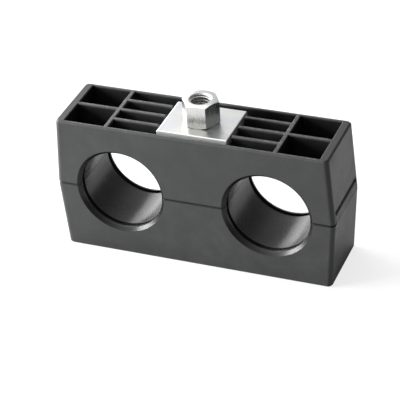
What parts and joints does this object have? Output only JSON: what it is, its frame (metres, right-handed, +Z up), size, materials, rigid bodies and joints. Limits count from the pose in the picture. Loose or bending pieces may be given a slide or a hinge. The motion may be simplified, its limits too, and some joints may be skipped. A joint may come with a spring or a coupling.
{
  "type": "twin hydraulic tube clamp",
  "caption": "Twin tube clamp: moulded halves with lipped bores and waffle cores, a steel cover plate and a stacking bolt with a tapped hexagon head.",
  "frame": {"origin": "centre of the underside of the lower half", "axes": "+X along the clamp from bore to bore, +Y along the tubes, +Z up along the bolt"},
  "size_m": [0.106, 0.028, 0.062],
  "materials": {
    "clamp_plastic": "satin moulded polypropylene",
    "plate_zinc": "bright zinc plating",
    "bolt_zinc": "bright zinc plating"
  },
  "bodies": {
    "root": {"upper_half": "clamp_plastic", "lower_half": "clamp_plastic", "cover_plate": "plate_zinc", "stacking_bolt": "bolt_zinc"}
  },
  "joints": []
}
